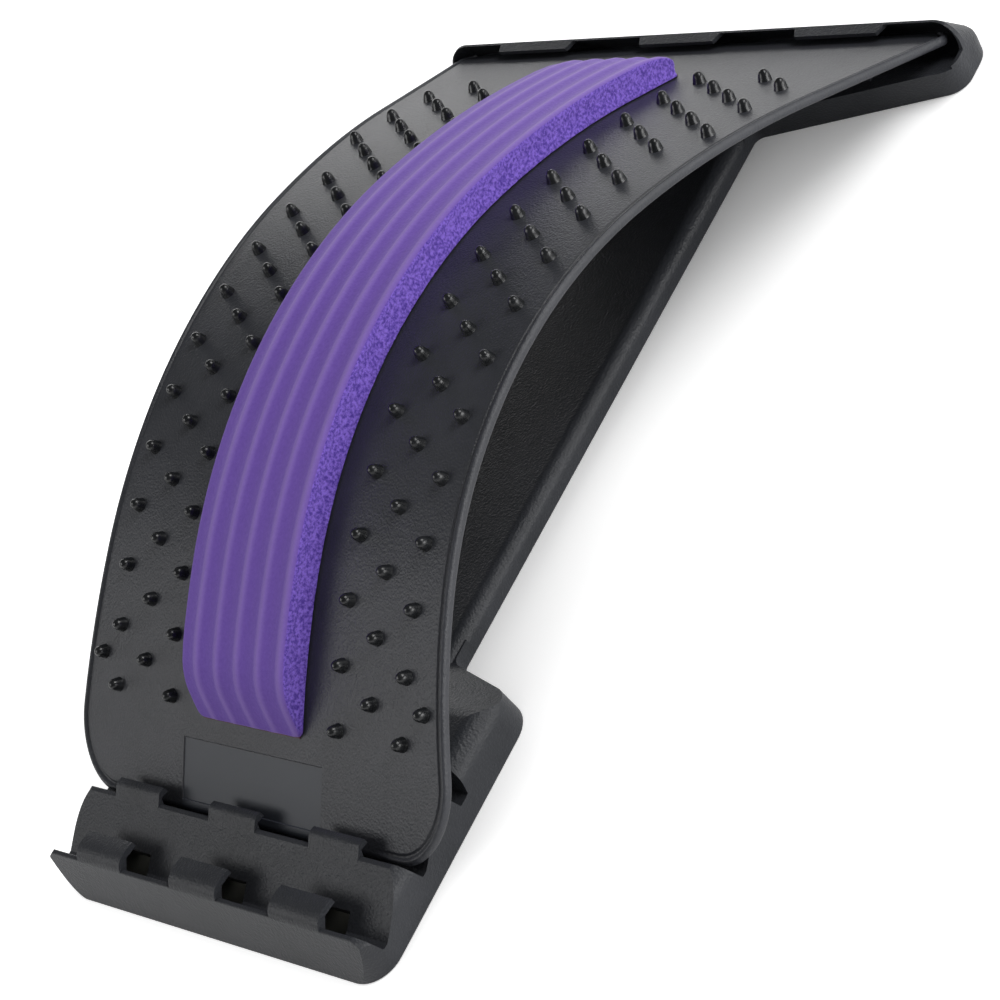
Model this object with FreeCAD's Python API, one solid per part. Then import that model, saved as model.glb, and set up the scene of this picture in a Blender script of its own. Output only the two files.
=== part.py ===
import FreeCAD
import Part
import math
import os
from FreeCAD import Vector

# Arched back stretcher: a moulded base board with hook troughs at both ends, and a springy
# arched plate that lies in them, with rows of soft nubs and a foam strip along its middle.
# Millimetres. +X runs towards the end with three hook rows, +Z is up, and the origin is on
# the floor at the middle of the base board.

# Base board, in plan
base_length = 380.0
near_half_width = 78.4
waist_half_width = 42.5
far_half_width = 121.5
near_shoulder_setback = 98.0
near_waist_setback = 108.0
far_waist_setback = 44.5
far_shoulder_setback = 24.7
near_corner_radius = 12.0
near_shoulder_radius = 11.0
far_corner_radius = 10.5
far_shoulder_radius = 8.0
waist_corner_radius = 4.0

# Base board, heights and walls
base_wall = 2.4
waist_height = 8.6
deck_height = 18.0
near_edge_round = 7.5
waist_edge_round = 5.0
deck_slope_run = 22.0
deck_slope_round = 9.0
rib_thickness = 1.8
rib_spacing = 42.0
rib_offset = 24.2

# Three hook rows at the near end
row_count = 3
row_pitch = 25.0
outer_row_setback = 6.6
wall_top_height = 17.4
wall_top_thickness = 1.6
wall_foot_thickness = 3.4
wall_top_round = 0.5
valley_height = 7.8
valley_length = 2.2
last_valley_length = 4.6
last_valley_slope = 3.2
wall_edge_round = 0.8

# Claws of the hook rows
claw_count = 3
claw_pitch = 48.4
claw_width = 22.8
claw_thickness = 2.0
claw_crest_rise = 2.8
claw_tip_rise = 2.0
claw_crest_shares = (0.5, 1.25)
claw_root_drop = 2.4
claw_skin = 0.8
outer_claw_reach = 10.5
outer_claw_lift = 3.5
inner_claw_reach = 6.4
inner_claw_lift = 3.0
window_clearance = 0.6

# Hook wall, trough, claws and support pads at the far end
far_wall_height = 19.8
far_lip_setback = 10.0
far_lip_thickness = 1.0
far_foot_inset = 1.2
far_bulge_height = 6.5
far_bulge_round = 4.0
far_foot_thickness = 2.6
far_valley_height = 7.0
far_valley_length = 12.0
far_deck_height = 10.6
far_deck_setback = 27.0
far_edge_round = 9.5
far_cap_thickness = 1.4
far_cap_round = 1.0
far_cap_setback = 11.6
far_cap_slope_setback = 15.5
far_claw_count = 3
far_claw_pitch = 72.4
far_claw_root_width = 39.0
far_claw_tip_width = 35.0
far_claw_reach = 4.7
far_claw_thickness = 1.6
pad_far_setback = 16.0
pad_near_setback = 27.0
pad_clearance = 0.3
pad_width = 35.0

# Arch of the plate's upper face, from the crown outwards to each end
crown_x = -2.9
crown_radius = 189.3
near_arc_radius = 313.7
far_arc_radius = 326.8
near_break = math.radians(28.06)
near_slope = math.radians(37.37)
far_break = math.radians(15.83)

# Plate, in plan and section
plate_thickness = 3.0
plate_trough_clearance = 0.2
plate_near_rise = 2.7753
plate_far_rise = 6.215
plate_end_margin = 0.3
plate_near_half_width = 89.0
plate_waist_half_width = 81.0
plate_far_half_width = 117.0
plate_waist_x = 39.0
plate_corner_radius = 20.0
plate_far_corner_radius = 4.0
plate_lip_round = 2.5
plate_corner_overturn = math.radians(9.6)
near_curve_shares = (0.31, 0.64)
far_curve_shares = (0.34, 0.525)
far_curve_width_share = 0.22

# Rim bead round the plate's sides
bead_width = 2.0
bead_rise = 0.45
bead_groove_width = 1.1
bead_groove_depth = 0.5
bead_near_stop = 61.5

# Bare label recess on the plate's near end
label_width = 67.6
label_length = 20.6
label_depth = 0.4
label_edge_distance = 4.2

# Foam strip and its adhesive tape
foam_thickness = 11.0
foam_width = 48.0
foam_near_margin = 32.862
foam_far_margin = 36.619
foam_ridge_count = 5
foam_ridge_pitch = 9.9
foam_ridge_width = 2.8
foam_ridge_drop = 0.35
foam_channel_shares = (0.25, 0.75)
foam_edge_round = 0.8
foam_channel_depth = 0.85
foam_crown = 0.5
foam_side_draw = 0.6
near_ramp_shares = ((0.0, 0.08), (0.18, 0.19), (0.62, 0.5), (1.09, 0.79), (1.68, 0.965))
far_ramp_shares = ((0.0, 0.32), (0.17, 0.61), (0.63, 0.85), (1.13, 0.95))
tape_thickness = 0.4
tape_margin = 0.4
layer_gap = 0.1

# Nubs, in columns beside the foam strip
nub_levels = ((2.45, 0.0), (2.05, 2.7), (1.0, 4.1))
nub_sides = 8
nub_pitch = 20.38
nub_end_margin = 37.362
nub_first_column = 40.6
nub_column_pitch = 14.4
nub_lone_margin = 11.0
nub_outer_count = 3

# One overrun for every cut
overrun = 1.0


# Fall of the arch, for the values worked out below

def arch_drop(reach, first_break, arc_radius, slope):
    """Drop of the arch's upper face from the crown to a reach beyond it, on one side."""
    bend = crown_radius * math.sin(first_break) + arc_radius * (math.sin(slope) - math.sin(first_break))
    drop = crown_radius * (1 - math.cos(first_break)) + arc_radius * (math.cos(first_break) - math.cos(slope))
    return drop + (reach - bend) * math.tan(slope)


def slope_for_drop(reach, first_break, arc_radius, drop):
    """End slope at which one side of the arch falls by a drop over its reach."""
    low = 0
    high = math.pi / 3
    while high - low > 1e-12:
        middle = (low + high) / 2
        if arch_drop(reach, first_break, arc_radius, middle) < drop:
            low = middle
        else:
            high = middle
    return (low + high) / 2


# Values worked out from the sizes above
near_end_x = base_length / 2
far_end_x = -base_length / 2
near_shoulder_x = near_end_x - near_shoulder_setback
near_waist_x = near_end_x - near_waist_setback
far_waist_x = far_end_x + far_waist_setback
far_shoulder_x = far_end_x + far_shoulder_setback
far_lip_x = far_end_x + far_lip_setback
far_deck_x = far_end_x + far_deck_setback
far_cap_x = far_end_x + far_cap_setback
far_cap_slope_x = far_end_x + far_cap_slope_setback
pad_far_x = far_end_x + pad_far_setback
pad_near_x = far_end_x + pad_near_setback
outer_row_x = near_end_x - outer_row_setback
full_width = 2 * far_half_width
row_positions = [outer_row_x - row_pitch * row for row in range(row_count)]
plate_near_x = row_positions[1] - wall_foot_thickness - plate_trough_clearance
plate_far_x = far_lip_x
near_drop = arch_drop(plate_near_x - crown_x, near_break, near_arc_radius, near_slope)
crown_height = valley_height + plate_near_rise + near_drop
far_drop = crown_height - far_valley_height - plate_far_rise
far_slope = slope_for_drop(crown_x - plate_far_x, far_break, far_arc_radius, far_drop)
tallest = crown_height + foam_thickness + overrun
claw_offsets = [claw_pitch * (claw - (claw_count - 1) / 2) for claw in range(claw_count)]
far_claw_offsets = [far_claw_pitch * (claw - (far_claw_count - 1) / 2) for claw in range(far_claw_count)]
far_foot_x = far_end_x + far_foot_inset
foam_underside = layer_gap + tape_thickness + layer_gap
near_breaks = (
    crown_radius * near_break,
    crown_radius * near_break + near_arc_radius * (near_slope - near_break),
)
far_breaks = (
    crown_radius * far_break,
    crown_radius * far_break + far_arc_radius * (far_slope - far_break),
)
arch_stops = [-far_breaks[1], -far_breaks[0], near_breaks[0], near_breaks[1]]


# Plane figures

def rounded_edges(corners):
    """Edges through (point, radius) corners of a closed figure, each corner rounded by its radius."""
    count = len(corners)
    bends = []
    for index in range(count):
        point, radius = corners[index]
        before = (corners[index - 1][0] - point).normalize()
        after = (corners[(index + 1) % count][0] - point).normalize()
        half_angle = before.getAngle(after) / 2
        setback = radius / math.tan(half_angle)
        inset = radius / math.sin(half_angle) - radius
        middle = (before + after).normalize()
        bends.append((point + before * setback, point + middle * inset, point + after * setback, radius))
    edges = []
    for index in range(count):
        start, middle, end, radius = bends[index]
        if radius > 0:
            edges.append(Part.Arc(start, middle, end).toShape())
        edges.append(Part.LineSegment(end, bends[(index + 1) % count][0]).toShape())
    return edges


def rounded_face(points, radii):
    """A face through corner points with rounded corners."""
    return Part.Face(Part.Wire(rounded_edges(list(zip(points, radii)))))


def side_profile(corners):
    """A face in the XZ plane from (x, z, radius) corners."""
    points = [Vector(x, 0, z) for x, z, radius in corners]
    return rounded_face(points, [radius for x, z, radius in corners])


def plan_profile(corners):
    """A face in the XY plane from (x, y, radius) corners."""
    points = [Vector(x, y, 0) for x, y, radius in corners]
    return rounded_face(points, [radius for x, y, radius in corners])


def end_profile(half_width, height, edge_round):
    """A face in the YZ plane: a block end with rounded upper edges."""
    points = [Vector(0, half_width, 0), Vector(0, half_width, height)]
    points = points + [Vector(0, -half_width, height), Vector(0, -half_width, 0)]
    return rounded_face(points, [0, edge_round, edge_round, 0])


def across(face, half_width):
    """Extrude an XZ face to both sides of the middle plane."""
    return slab(face, -half_width, half_width)


def slab(face, low_y, high_y):
    """Extrude an XZ face from one Y to another."""
    return face.translated(Vector(0, low_y, 0)).extrude(Vector(0, high_y - low_y, 0))


def along(face, low_x, high_x):
    """Extrude a YZ face from one X to another."""
    return face.translated(Vector(low_x, 0, 0)).extrude(Vector(high_x - low_x, 0, 0))


def upright(face, low_z, high_z):
    """Extrude an XY face from one height to another."""
    return face.translated(Vector(0, 0, low_z)).extrude(Vector(0, 0, high_z - low_z))


def block(low, high):
    """A box between two corners."""
    return Part.makeBox(high[0] - low[0], high[1] - low[1], high[2] - low[2], Vector(*low))


def fused(shapes):
    """One shape from several, with flush faces joined."""
    return shapes[0].multiFuse(shapes[1:]).removeSplitter()


# The arch, as a path measured along the plate's upper face

def arch_point(run, height):
    """Point at a signed distance from the crown along the arch, and a height above its face."""
    side = 1 if run >= 0 else -1
    turns = ((crown_radius, near_break), (near_arc_radius, near_slope))
    if side < 0:
        turns = ((crown_radius, far_break), (far_arc_radius, far_slope))
    rest = abs(run)
    start_angle = 0
    centre = Vector(crown_x, 0, crown_height)
    radius = 0
    for next_radius, end_angle in turns:
        outward = Vector(side * math.sin(start_angle), 0, math.cos(start_angle))
        centre = centre + outward * (radius - next_radius)
        radius = next_radius
        length = radius * (end_angle - start_angle)
        if rest <= length:
            angle = start_angle + rest / radius
            return centre + Vector(side * math.sin(angle), 0, math.cos(angle)) * (radius + height)
        rest = rest - length
        start_angle = end_angle
    outward = Vector(side * math.sin(start_angle), 0, math.cos(start_angle))
    downhill = Vector(side * math.cos(start_angle), 0, -math.sin(start_angle))
    return centre + outward * (radius + height) + downhill * rest


def arch_turn(run):
    """Lean of the arch's upper face at a distance from the crown, in degrees."""
    normal = arch_point(run, plate_thickness) - arch_point(run, 0)
    return math.degrees(math.atan2(normal.x, normal.z))


def run_at_x(x):
    """Distance from the crown at which the arch's upper face passes over x."""
    low = -base_length
    high = base_length
    while high - low > base_length * 1e-9:
        middle = (low + high) / 2
        if arch_point(middle, 0).x < x:
            low = middle
        else:
            high = middle
    return (low + high) / 2


def arch_spans(run_from, run_to):
    """Pieces of the arch between two distances, as (start, end, straight) spans."""
    stops = [run_from] + [stop for stop in arch_stops if run_from < stop < run_to] + [run_to]
    spans = []
    for start, end in zip(stops[:-1], stops[1:]):
        spans.append((start, end, start >= near_breaks[1] or end <= -far_breaks[1]))
    return spans


def arch_edges(run_from, run_to, height):
    """Edges that follow the arch between two distances at one height."""
    edges = []
    for start, end, straight in arch_spans(run_from, run_to):
        first = arch_point(start, height)
        last = arch_point(end, height)
        if straight:
            edges.append(Part.LineSegment(first, last).toShape())
        else:
            edges.append(Part.Arc(first, arch_point((start + end) / 2, height), last).toShape())
    return edges


def closed_face(edges):
    """A face inside edges given in any order."""
    return Part.Face(Part.Wire(Part.__sortEdges__(edges)))


def arch_band(run_from, run_to, low, high, half_width, near_round=0):
    """The arch between two heights, as a bent sheet whose near upper edge may be rounded."""
    near_end = Part.LineSegment(arch_point(run_to, high - near_round), arch_point(run_to, low)).toShape()
    far_end = Part.LineSegment(arch_point(run_from, low), arch_point(run_from, high)).toShape()
    edges = arch_edges(run_from, run_to - near_round, high) + [near_end, far_end]
    if near_round > 0:
        cut_back = near_round * (1 - math.sqrt(0.5))
        start = arch_point(run_to - near_round, high)
        middle = arch_point(run_to - cut_back, high - cut_back)
        edges.append(Part.Arc(start, middle, arch_point(run_to, high - near_round)).toShape())
    return across(closed_face(edges + arch_edges(run_from, run_to, low)), half_width)


# Base board

def base_outline(inset):
    """Plan of the base board, drawn in by an inset on every side."""
    side = [
        (near_end_x - inset, near_half_width - inset, near_corner_radius - inset),
        (near_shoulder_x + inset, near_half_width - inset, near_shoulder_radius - inset),
        (near_waist_x + inset, waist_half_width - inset, waist_corner_radius),
        (far_waist_x - inset, waist_half_width - inset, waist_corner_radius),
        (far_shoulder_x - inset, far_half_width - inset, far_shoulder_radius - inset),
        (far_foot_x + inset, far_half_width - inset, far_corner_radius - inset),
    ]
    return plan_profile(mirrored(side))


def mirrored(side):
    """Corners of one side, followed by their mirror images on the other side."""
    return side + [(x, -y, radius) for x, y, radius in reversed(side)]


def row_corners(row_x):
    """Upper outline of one hook wall: valley, leaning inner face and narrow wall top."""
    return [
        (row_x - wall_foot_thickness, valley_height, wall_edge_round),
        (row_x - wall_top_thickness, wall_top_height, wall_top_round),
        (row_x, wall_top_height, wall_top_round),
    ]


def near_deck_profile():
    """Side view of the stepped near end, from the waist to the front wall."""
    last_valley_x = row_positions[-1] - wall_foot_thickness - last_valley_length
    corners = [
        (near_waist_x - deck_slope_round, 0, 0),
        (near_waist_x - deck_slope_round, waist_height - base_wall, 0),
        (near_waist_x, waist_height - base_wall, 0),
        (near_waist_x + deck_slope_run, deck_height, deck_slope_round),
        (last_valley_x - last_valley_slope, deck_height, wall_edge_round),
        (last_valley_x, valley_height, wall_edge_round),
    ]
    for row_x in reversed(row_positions):
        corners = corners + row_corners(row_x)
        if row_x != outer_row_x:
            valley_x = row_x + row_pitch - wall_foot_thickness - valley_length
            corners.append((valley_x, valley_height, wall_edge_round))
    corners.append((near_end_x, 0, 0))
    return side_profile(corners)


def far_side_corners():
    """Outer face of the far hook wall, from the floor over its bulge to the lip."""
    return [
        (far_foot_x, 0, 0),
        (far_end_x, far_bulge_height, far_bulge_round),
        (far_lip_x, far_wall_height, 0),
    ]


def far_deck_profile():
    """Side view of the far end: leaning outer face, closed trough end and deck."""
    return side_profile(far_side_corners() + [
        (far_cap_x, far_wall_height, far_cap_round),
        (far_cap_slope_x, far_deck_height, far_cap_round),
        (far_waist_x, far_deck_height, wall_edge_round),
        (far_waist_x + far_deck_height, 0, 0),
    ])


def far_room_profile():
    """Side view of the hollow under the far trough and deck."""
    low_x = far_foot_x + base_wall
    floor = far_valley_height - base_wall
    return side_profile([
        (low_x, -overrun, 0),
        (low_x, floor, wall_edge_round),
        (far_end_x + far_foot_thickness + far_valley_length, floor, wall_edge_round),
        (far_deck_x, far_deck_height - base_wall, wall_edge_round),
        (far_waist_x, far_deck_height - base_wall, wall_edge_round),
        (far_waist_x, -overrun, 0),
    ])


def far_levels():
    """Levels of the far wall's outer face, as (distance from the far end, height)."""
    low_lean = math.atan2(far_foot_inset, far_bulge_height)
    high_lean = math.atan2(far_lip_x - far_end_x, far_wall_height - far_bulge_height)
    setback = far_bulge_round * math.tan((low_lean + high_lean) / 2)
    low = (setback * math.sin(low_lean), far_bulge_height - setback * math.cos(low_lean))
    high = (setback * math.sin(high_lean), far_bulge_height + setback * math.cos(high_lean))
    bulge = far_bulge_round / math.cos((low_lean + high_lean) / 2) - far_bulge_round
    tilt = (high_lean - low_lean) / 2
    middle = (bulge * math.cos(tilt), far_bulge_height + bulge * math.sin(tilt))
    return [(far_foot_inset, 0), low, middle, high, (far_lip_x - far_end_x, far_wall_height)]


def far_section(distance, height):
    """Plan of the far end at one height, with its far side set in by a distance."""
    half = far_half_width
    face = plan_profile(mirrored([
        (far_waist_x + far_deck_height, waist_half_width, 0),
        (far_waist_x, waist_half_width, waist_corner_radius),
        (far_shoulder_x, half, far_shoulder_radius),
        (far_end_x + distance, half, far_corner_radius),
    ]))
    return face.translated(Vector(0, 0, height)).OuterWire


def trough_section(low_x, height):
    """Plan of the far trough's room at one height, from its wall to past the deck."""
    half = far_half_width - far_cap_thickness
    radius = far_corner_radius - far_cap_thickness
    face = plan_profile(mirrored([(far_waist_x, half, 0), (low_x, half, radius)]))
    return face.translated(Vector(0, 0, height)).OuterWire


def far_trough():
    """Room over the far trough and deck, behind the leaning wall and between the closed ends."""
    foot_x = far_end_x + far_foot_thickness
    top_x = far_lip_x + far_lip_thickness
    slope = (top_x - foot_x) / (far_wall_height - far_valley_height)
    high = far_wall_height + overrun
    sections = [trough_section(foot_x, far_valley_height), trough_section(top_x + slope * overrun, high)]
    room = Part.makeLoft(sections, True, True)
    trough_x = foot_x + far_valley_length
    return room.common(across(side_profile([
        (far_end_x, far_valley_height, 0),
        (trough_x, far_valley_height, wall_edge_round),
        (far_deck_x, far_deck_height, wall_edge_round),
        (far_waist_x, far_deck_height, 0),
        (far_waist_x, high, 0),
        (far_end_x, high, 0),
    ]), far_half_width))


def far_end_mass():
    """The far end: a bulged, leaning outer face round a trough with closed ends."""
    sections = [far_section(distance, height) for distance, height in far_levels()]
    mass = Part.makeLoft(sections, True, True).common(across(far_deck_profile(), far_half_width))
    box = end_profile(far_half_width, far_wall_height, far_edge_round)
    mass = mass.common(along(box, far_end_x - overrun, near_end_x))
    return mass.cut(far_trough())


def trimmed(mass, inset, height, half_width, edge_round):
    """A mass kept inside the plan and inside a rounded block end."""
    section = end_profile(half_width - inset, height - inset, edge_round - inset)
    box = mass.BoundBox
    kept = mass.common(along(section, box.XMin - overrun, box.XMax + overrun))
    return kept.common(upright(base_outline(inset), 0, tallest))


def waist_mass(inset):
    """The waist as a lump, drawn in by an inset."""
    section = end_profile(waist_half_width - inset, waist_height - inset, waist_edge_round - inset)
    return along(section, far_shoulder_x, near_shoulder_x)


def base_hollow():
    """The hollow under the board, with its stiffening ribs left standing."""
    near_top = deck_height
    floor = upright(base_outline(base_wall), -overrun, base_wall + overrun)
    near_room = across(near_deck_profile().makeOffset2D(-base_wall, join=2), near_half_width)
    far_room = across(far_room_profile(), far_half_width)
    rooms = [
        floor,
        trimmed(near_room, base_wall, near_top, near_half_width, near_edge_round),
        trimmed(far_room, base_wall, far_wall_height, far_half_width, far_edge_round),
        waist_mass(base_wall),
    ]
    return fused(rooms).cut(Part.makeCompound(base_ribs()))


def base_ribs():
    """Two long ribs and a row of cross ribs under the board."""
    ribs = []
    for side in (-1, 1):
        centre = side * rib_offset
        low = (far_end_x, centre - rib_thickness / 2, 0)
        ribs.append(block(low, (near_end_x, centre + rib_thickness / 2, tallest)))
    count = int((near_shoulder_x - far_waist_x) / rib_spacing)
    for rib in range(count + 1):
        x = far_waist_x + rib_spacing * rib
        low = (x - rib_thickness / 2, -waist_half_width, 0)
        ribs.append(block(low, (x + rib_thickness / 2, waist_half_width, tallest)))
    return ribs


def claw_profile(root_x, reach, lift, skin_foot):
    """Side view of a claw that rises out of a wall's outer face and curls over the trough behind it."""
    corner = Vector(root_x, 0, wall_top_height)
    uphill = (corner - skin_foot).normalize()
    start = corner - uphill * claw_skin
    tip = corner + Vector(-reach, 0, claw_tip_rise)
    crest = corner + Vector(-reach * claw_crest_shares[0], 0, claw_crest_rise * claw_crest_shares[1])
    back = Part.BezierCurve()
    back.setPoles([start, corner + uphill * lift, crest, tip])
    drop = Vector(0, 0, -claw_thickness)
    under = corner + Vector(-reach / 2, 0, claw_crest_rise) + drop
    heel = corner + Vector(-wall_top_thickness, 0, -claw_root_drop)
    edges = [
        back.toShape(),
        Part.LineSegment(tip, tip + drop).toShape(),
        Part.LineSegment(tip + drop, under).toShape(),
        Part.LineSegment(under, heel).toShape(),
        Part.LineSegment(heel, start).toShape(),
    ]
    return closed_face(edges)


def row_reach(row_x):
    """How far a row's claws reach over its trough."""
    return outer_claw_reach if row_x == outer_row_x else inner_claw_reach


def row_claw(row_x):
    """Side view of the claws of one row."""
    if row_x == outer_row_x:
        foot = Vector(near_end_x, 0, 0)
        return claw_profile(row_x, outer_claw_reach, outer_claw_lift, foot)
    valley_x = row_x + row_pitch - wall_foot_thickness - valley_length
    foot = Vector(valley_x, 0, valley_height)
    return claw_profile(row_x, inner_claw_reach, inner_claw_lift, foot)


def near_claws():
    """Every claw of the hook rows."""
    claws = []
    for row_x in row_positions:
        profile = row_claw(row_x)
        for offset in claw_offsets:
            claws.append(slab(profile, offset - claw_width / 2, offset + claw_width / 2))
    return claws


def near_windows():
    """Openings through the trough floor under every claw."""
    windows = []
    half = claw_width / 2 + window_clearance
    for row_x in row_positions:
        low_x = row_x - row_reach(row_x) - window_clearance
        high_x = row_x - wall_foot_thickness
        for offset in claw_offsets:
            low = (low_x, offset - half, -overrun)
            windows.append(block(low, (high_x, offset + half, wall_top_height - claw_root_drop)))
    return windows


def far_claws():
    """The tapered claws over the plate's far edge."""
    start_x = far_lip_x
    tip_x = far_lip_x + far_claw_reach
    root_half = far_claw_root_width / 2
    tip_half = far_claw_tip_width / 2
    low_z = far_wall_height - far_claw_thickness
    claws = []
    for offset in far_claw_offsets:
        plan = plan_profile([
            (start_x, offset - root_half, 0),
            (tip_x, offset - tip_half, 0),
            (tip_x, offset + tip_half, 0),
            (start_x, offset + root_half, 0),
        ])
        claws.append(upright(plan, low_z, far_wall_height))
    return claws


def far_pads():
    """Support pads that carry the plate's underside at the far end."""
    far_run = run_at_x(pad_far_x)
    near_run = run_at_x(pad_near_x)
    depth = -plate_thickness - pad_clearance
    top_far = arch_point(far_run, depth)
    top_near = arch_point(near_run, depth)
    corners = [
        (top_far.x, far_valley_height - base_wall, 0),
        (top_far.x, top_far.z, 0),
        (top_near.x, top_near.z, 0),
        (top_near.x, far_valley_height - base_wall, 0),
    ]
    profile = side_profile(corners)
    return [slab(profile, offset - pad_width / 2, offset + pad_width / 2) for offset in far_claw_offsets]


def make_base():
    """The whole base board."""
    near_end = across(near_deck_profile(), near_half_width)
    near_top = deck_height
    body = fused([
        trimmed(near_end, 0, near_top, near_half_width, near_edge_round),
        waist_mass(0),
        far_end_mass(),
    ] + far_pads())
    body = body.cut(base_hollow())
    body = body.cut(Part.makeCompound(near_windows()))
    return fused([body] + near_claws() + far_claws())


# Plate

def plate_outline(inset):
    """Plan of the plate, drawn in at its sides and near end."""
    near_half = plate_near_half_width - inset
    waist_half = plate_waist_half_width - inset
    far_half = plate_far_half_width - inset
    corner = plate_corner_radius - inset
    far_x = plate_far_x - plate_end_margin
    near_x = plate_near_x + plate_end_margin
    centre = Vector(near_x - plate_corner_radius, near_half - corner, 0)
    turn = plate_corner_overturn
    corner_end = centre + Vector(-math.sin(turn), math.cos(turn), 0) * corner
    middle_turn = (math.pi / 2 - turn) / 2
    corner_middle = centre + Vector(math.sin(middle_turn), math.cos(middle_turn), 0) * corner
    corner_start = centre + Vector(corner, 0, 0)
    near_span = corner_end.x - plate_waist_x
    far_span = plate_waist_x - far_x
    approach = near_span * (1 - near_curve_shares[1])
    near_curve = Part.BezierCurve()
    near_curve.setPoles([
        corner_end,
        corner_end - Vector(math.cos(turn), math.sin(turn), 0) * approach,
        Vector(plate_waist_x + near_curve_shares[0] * near_span, waist_half, 0),
        Vector(plate_waist_x, waist_half, 0),
    ])
    far_curve = Part.BezierCurve()
    far_curve.setPoles([
        Vector(plate_waist_x, waist_half, 0),
        Vector(plate_waist_x - far_curve_shares[0] * far_span, waist_half, 0),
        Vector(plate_waist_x - far_curve_shares[1] * far_span,
               waist_half + far_curve_width_share * (far_half - waist_half), 0),
        Vector(far_x, far_half, 0),
    ])
    corner_arc = Part.Arc(corner_start, corner_middle, corner_end).toShape()
    half = [corner_arc, near_curve.toShape(), far_curve.toShape()]
    mirrored = [edge.mirror(Vector(0, 0, 0), Vector(0, 1, 0)) for edge in half]
    near_line = Part.LineSegment(corner_start, Vector(corner_start.x, -corner_start.y, 0)).toShape()
    far_line = Part.LineSegment(Vector(far_x, far_half, 0), Vector(far_x, -far_half, 0)).toShape()
    return closed_face(half + mirrored + [near_line, far_line])


def plate_prism(inset):
    """The plate's plan, extruded through its whole height, with its far corners rounded."""
    prism = upright(plate_outline(inset), 0, tallest)
    corners = []
    for edge in prism.Edges:
        box = edge.BoundBox
        if box.XMax < plate_far_x and box.ZLength > crown_height:
            corners.append(edge)
    return prism.makeFillet(plate_far_corner_radius - inset, corners)


def rim_ring(outer_inset, inner_inset):
    """The plan region between two insets, open towards the near and far edges."""
    inner = plate_prism(inner_inset)
    through = block((far_end_x, -waist_half_width, 0), (near_end_x, waist_half_width, tallest))
    stop_low = (plate_near_x - plate_corner_radius, -bead_near_stop, 0)
    near_stop = block(stop_low, (near_end_x, bead_near_stop, tallest))
    return plate_prism(outer_inset).cut(inner.fuse(through)).cut(near_stop)


def make_plate():
    """The arched plate with its rim bead and label recess."""
    near_run = run_at_x(plate_near_x)
    far_run = run_at_x(plate_far_x)
    wide = full_width / 2
    sheet = arch_band(far_run, near_run, -plate_thickness, 0, wide, plate_lip_round).common(plate_prism(0))
    bead = arch_band(far_run, near_run, -plate_thickness, bead_rise, wide, plate_lip_round)
    plate = fused([sheet, bead.common(rim_ring(0, bead_width))])
    groove = arch_band(far_run - overrun, near_run + overrun, -bead_groove_depth, overrun, wide)
    plate = plate.cut(groove.common(rim_ring(bead_width, bead_width + bead_groove_width)))
    label_run = near_run - label_edge_distance
    label = arch_band(label_run - label_length, label_run, -label_depth, overrun, label_width / 2)
    return plate.cut(label)


# Foam strip and tape

def foam_crest(offset):
    """Height of the foam's slight crown at a distance from its middle line."""
    return foam_thickness - foam_crown * (2 * offset / foam_width) ** 2


def foam_channel(start, end):
    """Points of one shallow channel between two places across the foam's top."""
    points = []
    for share in foam_channel_shares:
        offset = start + share * (end - start)
        points.append(Vector(0, offset, foam_crest(offset) - foam_channel_depth))
    return points


def foam_section():
    """Foam section at the crown: drawn-in sides, and channels between ridges on a slight crown."""
    half = foam_width / 2
    drawn = half - foam_side_draw
    shoulder = foam_crest(half) - foam_channel_depth
    middle = (foam_ridge_count - 1) / 2
    points = [Vector(0, -half, foam_underside), Vector(0, -drawn, foam_thickness / 2)]
    points.append(Vector(0, -half, shoulder - foam_edge_round))
    place = -half + foam_edge_round
    points.append(Vector(0, place, shoulder))
    for ridge in range(foam_ridge_count):
        offset = foam_ridge_pitch * (ridge - middle)
        foot_in = offset - foam_ridge_width / 2
        foot_out = offset + foam_ridge_width / 2
        if ridge > 0:
            points = points + foam_channel(place, foot_in)
        points.append(Vector(0, foot_in, foam_crest(foot_in) - foam_ridge_drop))
        points.append(Vector(0, offset, foam_crest(offset)))
        points.append(Vector(0, foot_out, foam_crest(foot_out) - foam_ridge_drop))
        place = foot_out
    points.append(Vector(0, half - foam_edge_round, shoulder))
    points.append(Vector(0, half, shoulder - foam_edge_round))
    points.append(Vector(0, drawn, foam_thickness / 2))
    points.append(Vector(0, half, foam_underside))
    return Part.Face(Part.makePolygon(points + points[:1]))


def swept_along_arch(section, run_from, run_to):
    """Carry a YZ section, drawn at the crown, along the arch between two distances."""
    pieces = []
    for start, end, straight in arch_spans(run_from, run_to):
        placed = section.copy()
        placed.rotate(Vector(0, 0, 0), Vector(0, 1, 0), arch_turn(start))
        placed.translate(arch_point(start, 0))
        if straight:
            pieces.append(placed.extrude(arch_point(end, 0) - arch_point(start, 0)))
            continue
        sweep = arch_turn(end) - arch_turn(start)
        chord = arch_point(end, 0) - arch_point(start, 0)
        radius = chord.Length / (2 * math.sin(math.radians(sweep) / 2))
        normal = (arch_point(start, plate_thickness) - arch_point(start, 0)).normalize()
        pieces.append(placed.revolve(arch_point(start, 0) - normal * radius, Vector(0, 1, 0), sweep))
    return fused(pieces)


def ramp_edge(end_run, direction, shares):
    """Curved ramp of one foam end, from its low lip up past the full height."""
    points = []
    for distance, height in shares:
        points.append(arch_point(end_run + direction * distance * foam_thickness, height * foam_thickness))
    top_run = end_run + direction * (shares[-1][0] + 1) * foam_thickness
    points.append(arch_point(top_run, foam_thickness + overrun))
    curve = Part.BSplineCurve()
    curve.interpolate(points)
    lip = Part.LineSegment(arch_point(end_run, 0), points[0]).toShape()
    return [curve.toShape(), lip], top_run


def foam_runs():
    """Far and near end of the foam strip, as distances from the crown."""
    return run_at_x(plate_far_x) + foam_far_margin, run_at_x(plate_near_x) - foam_near_margin


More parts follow.
